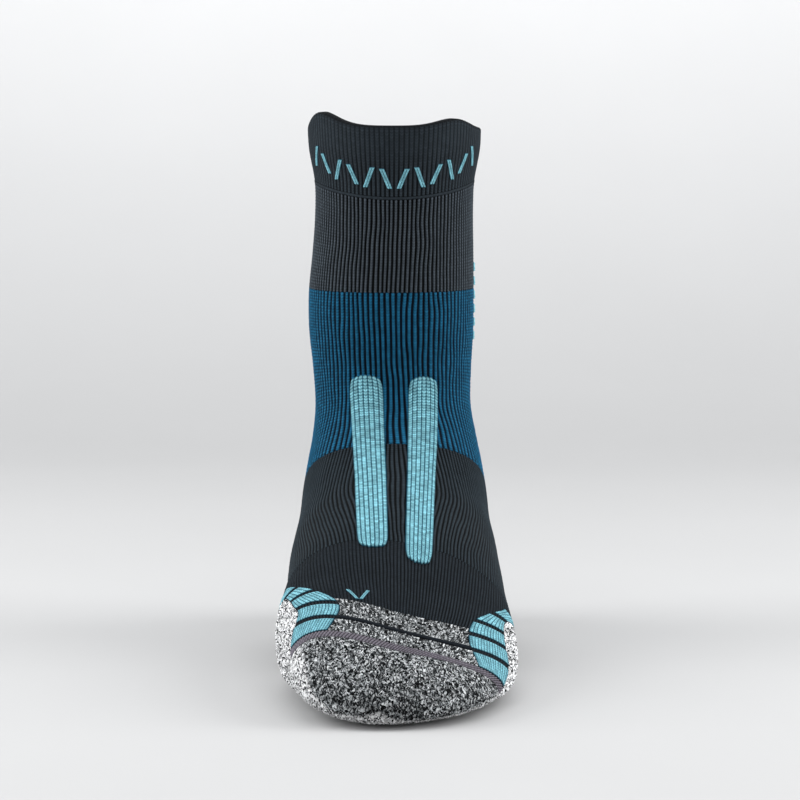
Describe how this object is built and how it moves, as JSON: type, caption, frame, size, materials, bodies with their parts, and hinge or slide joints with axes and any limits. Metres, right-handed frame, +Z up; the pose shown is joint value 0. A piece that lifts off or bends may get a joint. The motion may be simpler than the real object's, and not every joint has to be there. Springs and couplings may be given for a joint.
{
  "type": "trekking sock",
  "caption": "Left-foot trekking crew sock in its worn shape, with ribbed leg, turned welt, terry heel, sole and toe, raised instep pads and striped forefoot wings.",
  "frame": {"origin": "on the floor plane under the ankle, on the flat of the heel's underside", "axes": "+Z up, +Y from toe to heel, +X from the medial (big toe) side to the lateral side"},
  "size_m": [0.0999, 0.2664, 0.241],
  "materials": {
    "charcoal_rib": "ribbed stretch knit, matte",
    "blue_knit": "plain stretch knit, matte",
    "light_blue_pad": "raised float-stitched knit, soft sheen",
    "instep_knit": "fine ventilation knit, matte",
    "melange_terry": "grey melange terry, fuzzy",
    "sole_terry": "white and black melange terry, fuzzy",
    "smooth_band": "smooth diagonal knit",
    "lining": "plain inner knit",
    "elastic": "covered elastic yarn",
    "seam": "linked seam, tight stitches",
    "motif_yarn": "pattern yarn"
  },
  "bodies": {
    "foot": {"instep_panel": "instep_knit", "instep_bar_medial": "light_blue_pad", "instep_bar_lateral": "light_blue_pad", "heel_upper": "melange_terry", "heel_lower": "sole_terry", "heel_gores": "seam", "heel_pile": "melange_terry", "arch_band": "instep_knit", "forefoot_panel": "instep_knit", "sole_cushion": "sole_terry", "sole_pile": "sole_terry", "side_mark": "motif_yarn", "wing_panel_lateral": "instep_knit", "wing_panel_medial": "instep_knit", "wing_stripes_lateral": "light_blue_pad", "wing_stripes_medial": "light_blue_pad", "side_guard_lateral": "sole_terry", "side_guard_medial": "sole_terry"},
    "leg": {"welt_rim": "charcoal_rib", "welt_outer": "charcoal_rib", "welt_lining": "lining", "welt_elastic": "elastic", "welt_join": "seam", "cuff_motif": "motif_yarn", "leg_rib": "charcoal_rib", "ankle_band": "blue_knit", "ankle_flex": "blue_knit", "achilles_pad": "light_blue_pad"},
    "toe": {"toe_terry_back": "melange_terry", "toe_seam": "seam", "toe_terry_front": "melange_terry", "toe_smooth_band": "smooth_band", "toe_cap": "melange_terry", "toe_cap_pile": "melange_terry"}
  },
  "joints": [
    {"name": "ankle_bend", "type": "hinge", "parent": "foot", "child": "leg", "pos_m": [0, -0.003, 0.078], "axis": [1, 0, 0], "range_deg": [-30, 20], "stiffness_Nm_per_rad": 0.06, "deforming": ["ankle_band", "ankle_flex", "achilles_pad", "instep_bar_medial", "instep_bar_lateral"]},
    {"name": "toe_bend", "type": "hinge", "parent": "foot", "child": "toe", "pos_m": [0, -0.13, 0.024], "axis": [-1, 0, 0], "range_deg": [-25, 45], "stiffness_Nm_per_rad": 0.03, "deforming": ["forefoot_panel", "wing_panel_lateral", "wing_panel_medial", "wing_stripes_lateral", "wing_stripes_medial", "side_guard_lateral", "side_guard_medial", "sole_cushion", "sole_pile", "side_mark"]}
  ]
}
